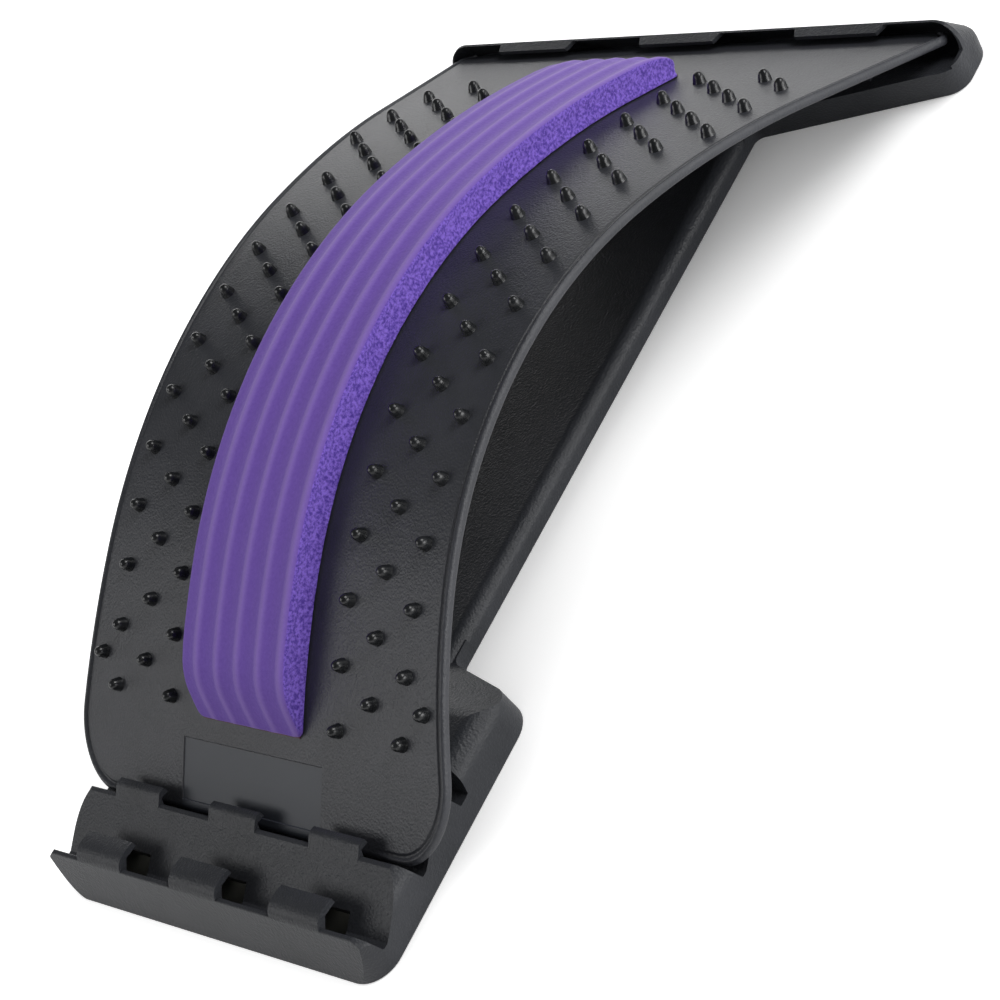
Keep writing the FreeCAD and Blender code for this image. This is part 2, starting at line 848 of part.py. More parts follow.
def foam_envelope():
    """Side view of the strip with its ramped ends, over the whole width."""
    foam_far_run, foam_near_run = foam_runs()
    near_ramp, near_top = ramp_edge(foam_near_run, -1, near_ramp_shares)
    far_ramp, far_top = ramp_edge(foam_far_run, 1, far_ramp_shares)
    top = arch_edges(far_top, near_top, foam_thickness + overrun)
    bottom = arch_edges(foam_far_run, foam_near_run, 0)
    return across(closed_face(near_ramp + far_ramp + top + bottom), foam_width)


def make_foam():
    """The foam strip with ramped ends."""
    foam_far_run, foam_near_run = foam_runs()
    return swept_along_arch(foam_section(), foam_far_run, foam_near_run).common(foam_envelope())


def make_tape():
    """The thin adhesive tape under the foam."""
    foam_far_run, foam_near_run = foam_runs()
    low = foam_far_run - tape_margin
    high = foam_near_run + tape_margin
    half = foam_width / 2 - tape_margin
    return arch_band(low, high, layer_gap, layer_gap + tape_thickness, half)


# Nubs

def nub_ring(radius, height):
    """One level of a nub, as a many sided ring."""
    points = []
    for side in range(nub_sides):
        angle = 2 * math.pi * side / nub_sides
        points.append(Vector(radius * math.cos(angle), radius * math.sin(angle), height))
    return Part.makePolygon(points + points[:1])


def nub_at(run, offset):
    """One tapered nub with a rounded-over top, standing square on the plate."""
    rings = [nub_ring(radius, height) for radius, height in nub_levels]
    nub = Part.makeLoft(rings, True, True)
    nub.rotate(Vector(0, 0, 0), Vector(0, 1, 0), arch_turn(run))
    nub.translate(arch_point(run, 0) + Vector(0, offset, 0))
    return nub


def row_run(row):
    """Distance from the crown of a nub row, counted from the near end."""
    return run_at_x(plate_near_x) - nub_end_margin - row * nub_pitch / 2


def nub_last_row():
    """The last row of a long column that fits on the plate, in half pitches."""
    room = run_at_x(plate_near_x) - run_at_x(plate_far_x) - 2 * nub_end_margin
    return 2 * int(room / nub_pitch)


def nub_column(column, side):
    """All nubs of one column on one side of the foam."""
    last_row = nub_last_row()
    outermost = 3
    between = range(1, last_row, 2)
    rows = range(0, last_row + 1, 2)
    if column == 1:
        rows = between
    if column == outermost:
        rows = between[-nub_outer_count:]
    offset = nub_first_column + column * nub_column_pitch
    nubs = [nub_at(row_run(row), side * offset) for row in rows]
    if column == outermost:
        lone_offset = plate_near_half_width - nub_lone_margin
        nubs.append(nub_at(row_run(between[0]), side * lone_offset))
    return Part.makeCompound(nubs)


def save(shape, name):
    shape.exportStep("parts/" + name + ".step")


os.makedirs("parts", exist_ok=True)
save(make_base(), "base_board")
save(make_plate(), "arch_plate")
save(make_foam(), "foam_strip")
save(make_tape(), "foam_tape")
for side_name, side in (("right", 1), ("left", -1)):
    for column in range(4):
        save(nub_column(column, side), "nubs_" + side_name + "_" + str(column + 1))
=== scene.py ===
import math

import bmesh
import bpy
from mathutils import Euler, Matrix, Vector, noise


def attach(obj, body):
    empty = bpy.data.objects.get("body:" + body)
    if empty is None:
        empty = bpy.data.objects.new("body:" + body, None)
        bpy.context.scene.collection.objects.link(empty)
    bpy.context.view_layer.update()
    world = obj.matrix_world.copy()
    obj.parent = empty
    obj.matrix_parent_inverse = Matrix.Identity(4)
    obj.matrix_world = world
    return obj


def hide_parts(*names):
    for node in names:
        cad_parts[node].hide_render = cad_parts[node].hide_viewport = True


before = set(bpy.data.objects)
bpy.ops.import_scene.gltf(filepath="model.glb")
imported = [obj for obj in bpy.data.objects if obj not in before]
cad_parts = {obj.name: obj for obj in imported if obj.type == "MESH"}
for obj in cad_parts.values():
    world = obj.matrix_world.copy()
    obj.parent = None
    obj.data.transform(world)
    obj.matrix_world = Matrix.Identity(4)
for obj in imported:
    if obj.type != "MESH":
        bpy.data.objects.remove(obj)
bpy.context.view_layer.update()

# Arched back stretcher: the look. The CAD gives the base board and the tape, and the plate,
# the foam strip and the nubs are rebuilt here with rounded edges and fine relief.
# Lengths are in millimetres until points are made, and MM turns them into metres.

MM = 0.001

# Camera
CAMERA_PLACE = (342.74, 627.0, 544.41)
CAMERA_TURN = (43.193, 32.037, 122.334)
CAMERA_LENS = 93.45
CAMERA_SENSOR = 36.0

# Arch of the plate's upper face, from the crown outwards to each end, as (radius, end angle)
CROWN_X = -2.9
CROWN_HEIGHT = 80.06
CROWN_RADIUS = 189.3
NEAR_TURNS = ((CROWN_RADIUS, math.radians(28.06)), (313.7, math.radians(37.37)))
FAR_TURNS = ((CROWN_RADIUS, math.radians(15.83)), (326.8, math.radians(28.96)))
SEARCH_REACH = 400.0
SEARCH_FINE = 1e-6

# Base board
BASE_EDGE_ROUND = 0.45
BASE_EDGE_SEGMENTS = 3
BASE_FLAT_ANGLE = math.radians(2)
BASE_EDGE_ANGLE = math.radians(32)

# Plate, in plan
PLATE_NEAR_X = 154.8
PLATE_FAR_X = -180.0
NEAR_HALF = 89.0
WAIST_HALF = 81.0
FAR_HALF = 117.0
WAIST_X = 39.0
CORNER_RADIUS = 20.0
CORNER_OVERTURN = math.radians(9.6)
NEAR_SHARES = (0.31, 0.64)
FAR_SHARES = (0.34, 0.525)
FAR_WIDTH_SHARE = 0.22
FAR_CORNER_RADIUS = 4.0

# Plate, in section, and its bead and label recess
PLATE_THICKNESS = 3.0
LIP_ROUND = 2.5
BEAD_RISE = 0.45
BEAD_STOP = 61.5
BEAD_FADE = 5.0
LABEL_HALF = 33.8
LABEL_EDGE = 0.25
LABEL_DEPTH = 0.4
LABEL_FAR_X = 135.1
LABEL_NEAR_INSET = 3.34
INNER_INSET = 3.6

# Rim of the plate, as (inset from the outline, height) under the plate and over it
RIM_UNDER = (
    (3.6, -3.0),
    (1.1, -3.0),
    (0.6, -2.88),
    (0.25, -2.55),
    (0.07, -2.1),
)
RIM_OVER = (
    (0.0, -1.5),
    (0.05, -0.9),
    (0.18, -0.4),
    (0.38, 0.0),
    (0.65, 0.28),
    (1.0, 0.43),
    (1.3, 0.42),
    (1.6, 0.27),
    (1.86, 0.02),
    (2.05, -0.28),
    (2.25, -0.46),
    (2.55, -0.5),
    (2.8, -0.45),
    (3.0, -0.25),
    (3.15, -0.06),
    (3.35, 0.0),
    (3.6, 0.0),
)

# Fineness of the plate's grid
FAR_CORNER_STEPS = 8
FAR_SIDE_STEPS = 110
NEAR_SIDE_STEPS = 56
NEAR_CORNER_STEPS = 26
HALF_COLUMNS = 12
RUN_DIGITS = 4
PLATE_SHARP_ANGLE = math.radians(35)

# Foam strip
FOAM_NEAR_RUN = 143.3
FOAM_FAR_RUN = -155.0
FOAM_THICKNESS = 11.5
FOAM_UNDERSIDE = 0.6
FOAM_HALF = 25.2
FOAM_SIDE_CRESTS = 2
FOAM_CREST_PITCH = 10.0
FOAM_CREST_SHIFT = 3.0
FOAM_CREST_WIDTH = 2.8
FOAM_CREST_DROP = 0.35
# Painted highlight along the foam's crests: its share and its width
FOAM_CREST_HIGHLIGHT_SHARE = 0.45
FOAM_CREST_HIGHLIGHT_WIDTH = 4.8
FOAM_CHANNEL_DEPTH = 0.85
FOAM_CROWN = 0.5
FOAM_SIDE_DRAW = 0.6
FOAM_SIDE_SHARE = 0.93
FOAM_TOP_INSET = 0.3
FOAM_EDGE_ROUND = 1.0
FOAM_EDGE_DROP_SHARE = 0.35
FOAM_CORNER_ROUND = 2.6
FOAM_LEAST_RELIEF = 0.35
PORE_DEPTH = 0.22
PORE_TOP_SHARE = 0.12
PORE_STRETCH = (0.55, 2.0, 0.55)

# Ramps of the foam's ends, as (distance from the end, share of the full height)
NEAR_RAMP = (
    (0.0, 0.05),
    (0.4, 0.1),
    (1.98, 0.19),
    (4.3, 0.34),
    (6.8, 0.5),
    (9.4, 0.66),
    (12.0, 0.79),
    (15.2, 0.9),
    (18.5, 0.965),
    (24.0, 1.0),
)
FAR_RAMP = (
    (0.0, 0.3),
    (0.35, 0.4),
    (0.9, 0.5),
    (1.87, 0.62),
    (3.6, 0.73),
    (6.9, 0.85),
    (12.4, 0.95),
    (20.0, 1.0),
)

# Fineness of the foam's grid
FOAM_STEP = 1.0
FOAM_END_STATIONS = [0.0, 0.12, 0.35, 0.6, 0.9, 1.35, 1.87, 2.6]
FOAM_SIDE_STEPS = 9
FOAM_TOP_STEPS = 96
FOAM_SHARP_ANGLE = math.radians(50)

# Nubs, and one nub's outline as (radius, height)
NUB_HEIGHT = 4.15
NUB_PITCH = 20.38
NUB_FIRST_RUN = 138.8
NUB_FIRST_COLUMN = 40.6
NUB_COLUMN_PITCH = 14.4
NUB_COLUMN_COUNT = 4
NUB_LONG_COUNT = 15
NUB_OUTER_ROWS = (23, 25, 27)
NUB_LONE_ROW = 1
NUB_LONE_OFFSET = 78.0
NUB_SEGMENTS = 28
NUB_SHARP_ANGLE = math.radians(60)
NUB_PROFILE = (
    (2.55, -0.1),
    (2.5, 0.12),
    (2.38, 0.45),
    (2.22, 1.3),
    (2.02, 2.2),
    (1.82, 2.8),
    (1.56, 3.3),
    (1.2, 3.72),
    (0.8, 3.98),
    (0.38, 4.12),
)

# Colours, most as a darker and a lighter tone
PLATE_TONES = ((0.029, 0.031, 0.037), (0.041, 0.043, 0.051))
BASE_TONES = ((0.022, 0.024, 0.028), (0.034, 0.036, 0.042))
LABEL_TONE = (0.037, 0.042, 0.053)
NUB_TONES = ((0.006, 0.007, 0.008), (0.014, 0.015, 0.017))
FOAM_TOP_TONES = ((0.13, 0.062, 0.38), (0.22, 0.12, 0.54))
# Tone of the painted highlight on the foam's crests
FOAM_CREST_HIGHLIGHT_TONE = (0.38, 0.26, 0.66)
FOAM_PORE_TONES = ((0.07, 0.033, 0.3), (0.24, 0.138, 0.65))
FOAM_SHEEN_TONE = (0.85, 0.75, 1.0)
TAPE_TONES = ((0.03, 0.006, 0.012), (0.09, 0.012, 0.03))
FLOOR_TONE = (0.93, 0.93, 0.93)
# Tone of the painted shade on the floor under the near end
PAINTED_SHADE_TONE = (0.16, 0.16, 0.14)
WHITE = (1.0, 1.0, 1.0)
TONE_PLACES = (0.3, 0.7)
FOAM_PORE_PLACES = (0.36, 0.64)

# Noise, as (scale, detail, roughness)
PLASTIC_TONE_NOISE = (38.0, 3.0, 0.6)
COARSE_GRAIN_NOISE = (378.0, 2.0, 0.5)
FINE_GRAIN_NOISE = (1050.0, 4.0, 0.62)
PEBBLE_SCALE = 1365.0
NUB_NOISE = (220.0, 2.0, 0.5)
NUB_SKIN_NOISE = (900.0, 2.0, 0.5)
FOAM_CELL_NOISE = (1000.0, 2.0, 0.6)
FOAM_SPECKLE_NOISE = (900.0, 3.0, 0.7)
TAPE_NOISE = (160.0, 3.0, 0.6)

# Bumps of the surfaces, with depths in metres
COARSE_GRAIN_STRENGTH = 0.15
COARSE_GRAIN_DEPTH_SHARE = 1.6
PEBBLE_STRENGTH = 0.55
FINE_GRAIN_STRENGTH = 0.5
PLATE_GRAIN_DEPTH = 0.00024
BASE_GRAIN_DEPTH = 0.00026
NUB_SKIN_STRENGTH = 0.12
NUB_SKIN_DEPTH = 0.0001
FOAM_CELL_STRENGTH = 0.5
FOAM_CELL_DEPTH = 0.0003

# Roughness from the smoothest to the roughest spots, and gloss of the plastics
PLATE_ROUGHNESS = (0.38, 0.52)
BASE_ROUGHNESS = (0.36, 0.5)
NUB_ROUGHNESS = (0.2, 0.34)
PLATE_GLOSS = 0.45
BASE_GLOSS = 0.32

# Lean of the foam's skin over which its top turns into its cut sides
FOAM_SIDE_LEAN = (0.55, 0.85)

# Floor, in metres
FLOOR_SIZE = 12.0
FLOOR_GAP = 0.0003
FLOOR_LIFT = 0.95
FLOOR_GLOSS_SHARE = 0.6
FLOOR_SHADE_REACH = 0.1
FLOOR_SHADE_SAMPLES = 16

# Patch of painted shade on the floor under the near end
SHADE_FAR_X = 100.0
SHADE_NEAR_X = 184.0
SHADE_HALF = 70.0

# Light of the sky, and softboxes as (name, place, target, size, power), in metres and watts
HORIZON_LIGHT = 1.1
ZENITH_LIGHT = 0.14
ZENITH_START = 0.22
SOFTBOXES = (
    ("front_softbox", (0.9, -0.8, 0.9), (0.05, 0, 0.04), (0.9, 0.7), 6.4),
    ("side_softbox", (-0.3, 1.4, 0.22), (0.0, 0, 0.03), (1.3, 0.4), 9.5),
    ("high_softbox", (-0.75, 0.85, 1.05), (0.0, 0, 0.03), (0.9, 0.6), 11.0),
    ("far_softbox", (-1.3, -1.2, 0.25), (-0.1, 0, 0.04), (1.8, 0.4), 6.0),
)


# The arch, as a path measured along the plate's upper face

def arch_point(run, height, offset):
    """Point at a signed distance from the crown along the arch, above its face and to the side."""
    side = 1 if run >= 0 else -1
    turns = NEAR_TURNS if side > 0 else FAR_TURNS
    rest = abs(run)
    angle = 0.0
    centre_x = 0.0
    centre_z = CROWN_HEIGHT
    radius = 0.0
    for next_radius, end_angle in turns:
        centre_x += (radius - next_radius) * math.sin(angle)
        centre_z += (radius - next_radius) * math.cos(angle)
        radius = next_radius
        length = radius * (end_angle - angle)
        if rest <= length:
            angle += rest / radius
            rest = 0.0
            break
        rest -= length
        angle = end_angle
    reach = radius + height
    x = centre_x + reach * math.sin(angle) + rest * math.cos(angle)
    z = centre_z + reach * math.cos(angle) - rest * math.sin(angle)
    return Vector((CROWN_X + side * x, offset, z)) * MM


def run_at_x(x):
    """Distance from the crown at which the arch passes over x."""
    low = -SEARCH_REACH
    high = SEARCH_REACH
    while high - low > SEARCH_FINE:
        middle = (low + high) / 2
        if arch_point(middle, 0, 0).x < x * MM:
            low = middle
        else:
            high = middle
    return (low + high) / 2


# Meshes

def mesh_object(name, points, faces):
    """A smooth shaded object from points and faces."""
    mesh = bpy.data.meshes.new(name)
    mesh.from_pydata([tuple(point) for point in points], [], faces)
    mesh.validate()
    for polygon in mesh.polygons:
        polygon.use_smooth = True
    result = bpy.data.objects.new(name, mesh)
    bpy.context.scene.collection.objects.link(result)
    return result


def closed_object(name, points, faces, sharp_angle):
    """A closed object with its faces turned outwards, smooth but for edges over an angle."""
    result = mesh_object(name, points, faces)
    work = bmesh.new()
    work.from_mesh(result.data)
    bmesh.ops.remove_doubles(work, verts=work.verts, dist=1e-7)
    bmesh.ops.recalc_face_normals(work, faces=work.faces)
    work.to_mesh(result.data)
    work.free()
    result.data.set_sharp_from_angle(angle=sharp_angle)
    return result


class Grid:
    """Points and faces of a skin that follows the arch."""

    def __init__(self):
        self.points = []
        self.faces = []
        self.runs = {}

    def add(self, x, offset, height):
        """Add a point over x, at a height above the arch, and give its index."""
        key = round(x, RUN_DIGITS)
        if key not in self.runs:
            self.runs[key] = run_at_x(x)
        self.points.append(arch_point(self.runs[key], height, offset))
        return len(self.points) - 1

    def skin(self, rows):
        """Join each row of points to the next by faces."""
        for first, second in zip(rows[:-1], rows[1:]):
            for index in range(len(first) - 1):
                face = (first[index], first[index + 1], second[index + 1], second[index])
                self.faces.append(face)


# Plate

def bezier(poles, share):
    """Point and direction on a cubic curve."""
    a, b, c, d = poles
    rest = 1 - share
    point = a * rest ** 3 + b * 3 * rest ** 2 * share + c * 3 * rest * share ** 2 + d * share ** 3
    slope = (b - a) * rest ** 2 + (c - b) * 2 * rest * share + (d - c) * share ** 2
    return point, slope.normalized()


def far_corner(poles):
    """Rounded far corner of one side, from the far edge to the side's curve."""
    corner, along = bezier(poles, 0.0)
    outward = Vector((-along.y, along.x))
    edge = Vector((0, -1))
    half_angle = along.angle(edge) / 2
    centre = corner + (along + edge).normalized() * FAR_CORNER_RADIUS / math.sin(half_angle)
    last = math.atan2(outward.y, outward.x)
    points = []
    for step in range(FAR_CORNER_STEPS + 1):
        share = step / FAR_CORNER_STEPS
        angle = math.pi + (last - math.pi) * share
        spoke = Vector((math.cos(angle), math.sin(angle)))
        inward = edge.lerp(-spoke, share).normalized()
        points.append((centre + spoke * FAR_CORNER_RADIUS, inward))
    return points


def near_corner(centre):
    """Rounded near corner of one side, with places for the label recess's far edge."""
    inner_radius = CORNER_RADIUS - INNER_INSET
    turn = math.pi / 2 + CORNER_OVERTURN
    angles = []
    for step in range(NEAR_CORNER_STEPS + 1):
        angles.append(-CORNER_OVERTURN + turn * step / NEAR_CORNER_STEPS)
    for edge in (LABEL_FAR_X - LABEL_EDGE / 2, LABEL_FAR_X + LABEL_EDGE / 2):
        angles.append(math.asin((edge - centre.x) / inner_radius))
    points = []
    for angle in sorted(angles):
        outward = Vector((math.sin(angle), math.cos(angle)))
        points.append((centre + outward * CORNER_RADIUS, -outward))
    return points


def plate_side():
    """Outline of one side, from the far corner to the near edge, as (point, inward direction)."""
    centre = Vector((PLATE_NEAR_X - CORNER_RADIUS, NEAR_HALF - CORNER_RADIUS))
    turn = CORNER_OVERTURN
    corner = centre + Vector((-math.sin(turn), math.cos(turn))) * CORNER_RADIUS
    near_span = corner.x - WAIST_X
    far_span = WAIST_X - PLATE_FAR_X
    bend_half = WAIST_HALF + FAR_WIDTH_SHARE * (FAR_HALF - WAIST_HALF)
    far_poles = (
        Vector((PLATE_FAR_X, FAR_HALF)),
        Vector((WAIST_X - FAR_SHARES[1] * far_span, bend_half)),
        Vector((WAIST_X - FAR_SHARES[0] * far_span, WAIST_HALF)),
        Vector((WAIST_X, WAIST_HALF)),
    )
    near_poles = (
        Vector((WAIST_X, WAIST_HALF)),
        Vector((WAIST_X + NEAR_SHARES[0] * near_span, WAIST_HALF)),
        corner - Vector((math.cos(turn), math.sin(turn))) * near_span * (1 - NEAR_SHARES[1]),
        corner,
    )
    side = far_corner(far_poles)
    first_x = side[-1][0].x
    for poles, count in ((far_poles, FAR_SIDE_STEPS), (near_poles, NEAR_SIDE_STEPS)):
        for index in range(count):
            point, along = bezier(poles, index / count)
            if point.x > first_x:
                side.append((point, Vector((along.y, -along.x))))
    return side + near_corner(centre)


def column_offsets(half):
    """Offsets of the plate's inner grid lines between -half and half."""
    edge = LABEL_HALF + LABEL_EDGE
    middle = [LABEL_HALF * index / HALF_COLUMNS for index in range(HALF_COLUMNS + 1)]
    outer = [edge + (half - edge) * index / HALF_COLUMNS for index in range(HALF_COLUMNS)]
    positive = middle + outer
    return [-value for value in reversed(positive[1:])] + positive


def smooth(value, low, high):
    """Smooth step from 0 at low to 1 at high."""
    share = min(max((value - low) / (high - low), 0.0), 1.0)
    return share * share * (3 - 2 * share)


def lip_cap(x):
    """Greatest height of the plate's face close to its rounded near edge."""
    distance = (PLATE_NEAR_X - x) / math.cos(NEAR_TURNS[-1][1])
    rest = max(LIP_ROUND - distance, 0.0)
    return math.sqrt(max(LIP_ROUND ** 2 - rest ** 2, 0.0)) - LIP_ROUND


def rim_height(height, x, offset, under):
    """Height of a rim point: the bead and its groove fade at the near edge, which is rounded."""
    if under:
        return height
    inside = smooth(x, PLATE_NEAR_X - CORNER_RADIUS, PLATE_NEAR_X - CORNER_RADIUS / 2)
    keep = 1 - inside * (1 - smooth(abs(offset), BEAD_STOP, BEAD_STOP + BEAD_FADE))
    return min(height * keep, lip_cap(x) + BEAD_RISE * keep)


def rim_lines(grid, side, rings, sign):
    """The rim along one side: a line of points at each place, from the underside to the top."""
    lines = []
    for point, inward in side:
        line = []
        for inset, height, under in rings:
            place = point + inward * inset
            level = rim_height(height, place.x, place.y, under)
            line.append(grid.add(place.x, sign * place.y, level))
        lines.append(line)
    grid.skin(lines)
    grid.faces.append(tuple(lines[0]))
    return lines


def inner_faces(grid, side, rims):
    """The underside and the top between the rims, with the label recess and the far edge."""
    under_rows = []
    over_rows = []
    for index, (point, inward) in enumerate(side):
        place = point + inward * INNER_INSET
        recessed = place.x > LABEL_FAR_X
        for rows, ring, base in ((under_rows, 0, -PLATE_THICKNESS), (over_rows, -1, 0.0)):
            row = [rims[-1][index][ring]]
            for offset in column_offsets(place.y):
                sunk = ring == -1 and recessed and abs(offset) <= LABEL_HALF
                row.append(grid.add(place.x, offset, base - LABEL_DEPTH * sunk))
            rows.append(row + [rims[1][index][ring]])
    grid.skin(under_rows)
    grid.skin(over_rows)
    grid.skin([under_rows[0], over_rows[0]])
    return under_rows[-1], over_rows[-1]


def near_edge(grid, side, rings, rims, under_row, over_row):
    """The rounded near edge, from the last row under the plate to the last row over it."""
    point, inward = side[-1]
    half = (point + inward * INNER_INSET).y
    strip = [under_row]
    for ring, (inset, height, under) in enumerate(rings[1:-1], 1):
        place = point + inward * inset
        row = [rims[-1][-1][ring]]
        for offset in column_offsets(half):
            sunk = not under and inset > LABEL_NEAR_INSET and abs(offset) <= LABEL_HALF
            level = rim_height(height, place.x, offset, under) - LABEL_DEPTH * sunk
            row.append(grid.add(place.x, offset, level))
        strip.append(row + [rims[1][-1][ring]])
    grid.skin(strip + [over_row])


def make_plate():
    """The arched plate as one closed grid, with its rim bead, groove and label recess."""
    side = plate_side()
    rings = [(inset, height, True) for inset, height in RIM_UNDER]
    rings += [(inset, height, False) for inset, height in RIM_OVER]
    grid = Grid()
    rims = {sign: rim_lines(grid, side, rings, sign) for sign in (1, -1)}
    under_row, over_row = inner_faces(grid, side, rims)
    near_edge(grid, side, rings, rims, under_row, over_row)
    return closed_object("plate_moulded", grid.points, grid.faces, PLATE_SHARP_ANGLE)


# Foam

def foam_top(offset):
    """Height of the foam's top away from its ends: crests with wide channels on a slight crown."""
    numbers = range(-FOAM_SIDE_CRESTS, FOAM_SIDE_CRESTS + 1)
    centre = offset - FOAM_CREST_SHIFT
    crest = min(abs(centre - FOAM_CREST_PITCH * number) for number in numbers)
    crown = FOAM_THICKNESS - FOAM_CROWN * (offset / FOAM_HALF) ** 2
    half = FOAM_CREST_WIDTH / 2
    if crest < half:
        return crown - FOAM_CREST_DROP * (crest / half) ** 2
    share = min((crest - half) / (FOAM_CREST_PITCH / 2 - half), 1.0)
    channel = FOAM_CHANNEL_DEPTH - FOAM_CREST_DROP
    return crown - FOAM_CREST_DROP - channel * math.sin(share * math.pi / 2)


def ramp_share(distance, ramp):
    """Share of the full height at a distance from one of the foam's ends."""
    for (start, low), (end, high) in zip(ramp[:-1], ramp[1:]):
        if distance <= end:
            return low + (high - low) * (distance - start) / (end - start)
    return 1.0


def foam_corner(distance):
    """How far the foam's sides draw in at a distance from one of its ends."""
    rest = max(FOAM_CORNER_ROUND - distance, 0.0)
    return FOAM_CORNER_ROUND - math.sqrt(FOAM_CORNER_ROUND ** 2 - rest ** 2)


def foam_outline():
    """Cross section as (offset, share of height, is top), from one lower edge to the other."""
    outline = []
    for step in range(FOAM_SIDE_STEPS):
        share = step / FOAM_SIDE_STEPS
        draw = FOAM_SIDE_DRAW * math.sin(share * math.pi)
        outline.append((-FOAM_HALF + draw, share * FOAM_SIDE_SHARE, False))
    mirrored = [(-offset, share, False) for offset, share, top in reversed(outline)]
    half = FOAM_HALF - FOAM_TOP_INSET
    for step in range(FOAM_TOP_STEPS + 1):
        outline.append((-half + 2 * half * step / FOAM_TOP_STEPS, 1.0, True))
    return outline + mirrored


def foam_runs():
    """Stations along the strip, closer together at its ends."""
    length = FOAM_NEAR_RUN - FOAM_FAR_RUN
    ends = FOAM_END_STATIONS
    inner = length - 2 * ends[-1]
    count = int(inner / FOAM_STEP)
    steps = [ends[-1] + inner * step / count for step in range(1, count)]
    distances = ends + steps + [length - end for end in reversed(ends)]
    return [FOAM_FAR_RUN + distance for distance in distances]


def foam_point(run, offset, share, top):
    """One point of the foam's skin, with its ramp, crests, rounding and pore."""
    from_far = run - FOAM_FAR_RUN
    from_near = FOAM_NEAR_RUN - run
    ramp = min(ramp_share(from_far, FAR_RAMP), ramp_share(from_near, NEAR_RAMP))
    relief = FOAM_LEAST_RELIEF + (1 - FOAM_LEAST_RELIEF) * ramp
    floor = FOAM_THICKNESS - FOAM_CHANNEL_DEPTH
    body = FOAM_UNDERSIDE + (floor - FOAM_UNDERSIDE) * ramp
    reach = max(abs(offset) - (FOAM_HALF - FOAM_EDGE_ROUND), 0.0) / FOAM_EDGE_ROUND
    edge_drop = FOAM_EDGE_DROP_SHARE * FOAM_EDGE_ROUND * reach ** 2 * top
    top_height = body + (foam_top(offset) - floor) * relief - edge_drop
    height = FOAM_UNDERSIDE + (top_height - FOAM_UNDERSIDE) * share
    along, aside, up = PORE_STRETCH
    pore = PORE_DEPTH * noise.noise(Vector((run * along, offset * aside, height * up)))
    place = offset * (1 - foam_corner(min(from_far, from_near)) / FOAM_HALF)
    if top:
        return arch_point(run, height + pore * PORE_TOP_SHARE, place)
    return arch_point(run, height, place - math.copysign(pore, offset))


def make_foam():
    """The foam strip: crested top, drawn-in porous sides and ramped ends."""
    outline = foam_outline()
    runs = foam_runs()
    points = [foam_point(run, *corner) for run in runs for corner in outline]
    width = len(outline)
    last = (len(runs) - 1) * width
    faces = []
    for low in range(0, last, width):
        for column in range(low, low + width - 1):
            faces.append((column, column + 1, column + width + 1, column + width))
        faces.append((low + width - 1, low, low + width, low + 2 * width - 1))
    faces.append(tuple(range(width)))
    faces.append(tuple(last + column for column in reversed(range(width))))
    return closed_object("foam_channelled", points, faces, FOAM_SHARP_ANGLE)


# Nubs

def add_nub(points, faces, run, offset):
    """Add one domed nub that stands square on the plate."""
    foot = arch_point(run, 0, offset)
    up = (arch_point(run, 1, offset) - foot).normalized()
    side = Vector((0, 1, 0))
    ahead = side.cross(up)
    first = len(points)
    for radius, height in NUB_PROFILE:
        for segment in range(NUB_SEGMENTS):
            angle = 2 * math.pi * segment / NUB_SEGMENTS
            spoke = ahead * math.cos(angle) + side * math.sin(angle)
            points.append(foot + (up * height + spoke * radius) * MM)
    last = len(points) - NUB_SEGMENTS
    for low in range(first, last, NUB_SEGMENTS):
        high = low + NUB_SEGMENTS
        for segment in range(NUB_SEGMENTS):
            following = (segment + 1) % NUB_SEGMENTS
            faces.append((low + segment, low + following, high + following, high + segment))
    faces.append(tuple(first + segment for segment in reversed(range(NUB_SEGMENTS))))
    points.append(foot + up * NUB_HEIGHT * MM)
    tip = len(points) - 1
    for segment in range(NUB_SEGMENTS):
        faces.append((last + segment, last + (segment + 1) % NUB_SEGMENTS, tip))


def nub_places(column):
    """Rows and offsets of one column of nubs."""
    offset = NUB_FIRST_COLUMN + column * NUB_COLUMN_PITCH
    if column == NUB_COLUMN_COUNT - 1:
        places = [(row, offset) for row in NUB_OUTER_ROWS]
        return places + [(NUB_LONE_ROW, NUB_LONE_OFFSET)]
    return [(row, offset) for row in range(column % 2, 2 * NUB_LONG_COUNT - 1, 2)]


def make_nubs(side_name, sign, column):
    """One column of nubs as a single object."""
    points = []
    faces = []
    for row, offset in nub_places(column):
        add_nub(points, faces, NUB_FIRST_RUN - row * NUB_PITCH / 2, sign * offset)
    name = "nub_column_%s_%d" % (side_name, column + 1)
    return closed_object(name, points, faces, NUB_SHARP_ANGLE)


# Materials

